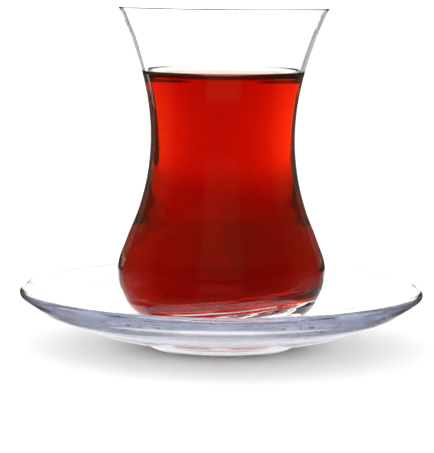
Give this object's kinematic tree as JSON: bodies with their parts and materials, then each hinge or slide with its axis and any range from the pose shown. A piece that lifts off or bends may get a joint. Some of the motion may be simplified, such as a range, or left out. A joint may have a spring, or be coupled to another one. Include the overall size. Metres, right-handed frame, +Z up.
{
  "type": "turkish tea glass with saucer",
  "caption": "Small waisted tea glass filled with black tea to well below its flared rim, standing in the middle of a shallow clear glass saucer with a foot ring.",
  "frame": {"origin": "on the surface it stands on, under the middle of the saucer's foot ring", "axes": "+Z up along the shared axis of the saucer and the glass; -Y towards the viewer; +X to the viewer's right, the side where the glass's base is thicker"},
  "size_m": [0.1156, 0.1156, 0.097],
  "materials": {
    "clear_glass": "polished",
    "black_tea": "still liquid"
  },
  "bodies": {
    "root": {"glass": "clear_glass", "tea": "black_tea", "saucer": "clear_glass"}
  },
  "joints": []
}
